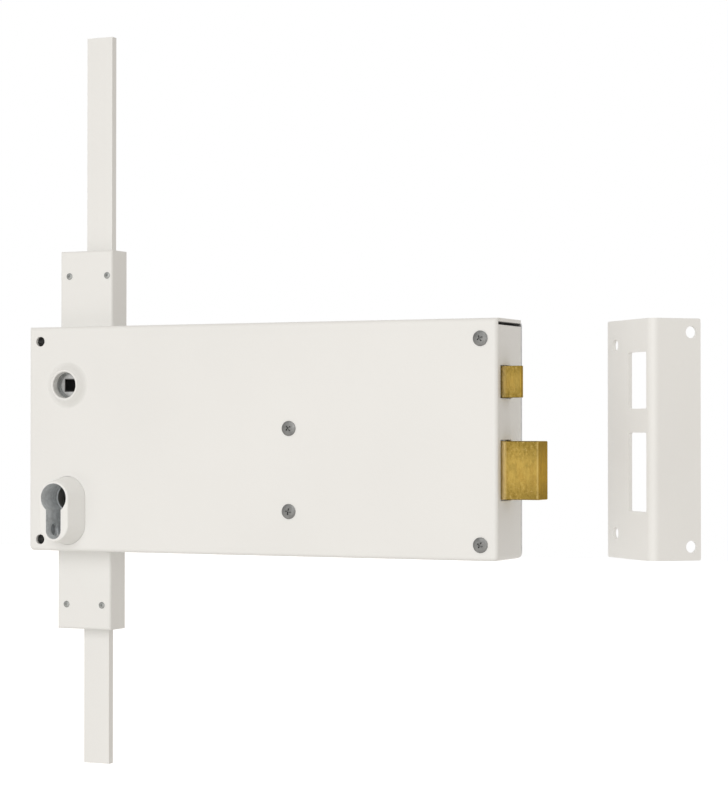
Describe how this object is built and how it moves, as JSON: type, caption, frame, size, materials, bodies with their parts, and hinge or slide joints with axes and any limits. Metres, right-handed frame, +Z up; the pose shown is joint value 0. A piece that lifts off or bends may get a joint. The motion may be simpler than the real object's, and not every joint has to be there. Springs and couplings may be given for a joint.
{
  "type": "multipoint door lock",
  "caption": "Surface-mounted door lock case with latch and deadbolt, geared rods above and below that throw with the bolt, and a separate angle keeper.",
  "frame": {"origin": "middle of the case's back face, which lies on the door", "axes": "+Z up along the rods, +Y out of the back face into the door, +X towards the latch and deadbolt"},
  "size_m": [0.4195, 0.0953, 0.4623],
  "materials": {
    "white_paint": "satin white powder coat",
    "zinc_plate": "bright zinc plate",
    "screw_steel": "dull zinc plate",
    "follower_metal": "cast, dull grey",
    "brass": "cast and milled, slightly mottled",
    "spring_steel": "drawn",
    "nylon": "natural"
  },
  "bodies": {
    "case": {"back_plate": "zinc_plate", "cover": "white_paint", "cylinder_collar": "white_paint", "follower_bush": "zinc_plate", "cover_corner_screws": "screw_steel", "guide_screws": "screw_steel", "cover_pillars": "zinc_plate", "fixing_sleeves": "zinc_plate", "cylinder_screw_block": "zinc_plate", "cylinder_fixing_screw": "screw_steel", "bolt_guide": "zinc_plate", "bolt_head_guide": "zinc_plate", "tail_guide": "nylon", "bolt_friction_spring": "spring_steel", "latch_head_guide": "zinc_plate", "latch_tail_guide": "nylon", "spring_bracket": "zinc_plate", "bracket_rivets": "screw_steel", "latch_spring": "spring_steel", "pinion_stud": "screw_steel", "pinion_clip": "spring_steel", "rack_guides": "nylon", "upper_box_cover": "white_paint", "upper_box_posts": "zinc_plate", "upper_box_screws": "screw_steel", "upper_rod_guide": "nylon", "lower_box_cover": "white_paint", "lower_box_posts": "zinc_plate", "lower_box_screws": "screw_steel", "lower_rod_guide": "nylon", "keeper": "white_paint"},
    "deadbolt": {"deadbolt_head": "brass", "deadbolt_tail": "zinc_plate", "deadbolt_rivets": "screw_steel"},
    "latch": {"latch_head": "brass", "latch_tail": "zinc_plate", "latch_pin": "screw_steel", "latch_guide_rod": "screw_steel"},
    "follower": {"handle_follower": "follower_metal"},
    "pinion": {"drive_pinion": "screw_steel"},
    "upper_rod_assembly": {"upper_slide": "zinc_plate", "upper_rod": "white_paint", "upper_coupling_screws": "screw_steel"},
    "lower_rod_assembly": {"lower_slide": "zinc_plate", "lower_rod": "white_paint", "lower_coupling_screws": "screw_steel"}
  },
  "joints": [
    {"name": "bolt_throw", "type": "slide", "parent": "case", "child": "deadbolt", "axis": [1, 0, 0], "range_m": [-0.0215, 0]},
    {"name": "pinion_turn", "type": "hinge", "parent": "case", "child": "pinion", "pos_m": [-0.098, 0, 0], "axis": [0, 1, 0], "range_deg": [0, 124]},
    {"name": "upper_rod_travel", "type": "slide", "parent": "case", "child": "upper_rod_assembly", "axis": [0, 0, 1], "range_m": [-0.0215, 0]},
    {"name": "lower_rod_travel", "type": "slide", "parent": "case", "child": "lower_rod_assembly", "axis": [0, 0, 1], "range_m": [0, 0.0215]},
    {"name": "latch_travel", "type": "slide", "parent": "case", "child": "latch", "axis": [1, 0, 0], "range_m": [-0.0115, 0], "stiffness_N_per_m": 300, "springref_m": 0.02, "deforming": ["latch_spring"]},
    {"name": "follower_turn", "type": "hinge", "parent": "case", "child": "follower", "pos_m": [-0.13, 0, 0.0335], "axis": [0, 1, 0], "range_deg": [-44, 0]}
  ],
  "couplings": [
    {"joint": "pinion_turn", "follows": "bolt_throw", "rad_per_m": -100},
    {"joint": "upper_rod_travel", "follows": "bolt_throw", "ratio": 1},
    {"joint": "lower_rod_travel", "follows": "bolt_throw", "ratio": -1},
    {"joint": "follower_turn", "follows": "latch_travel", "rad_per_m": 66.667}
  ]
}
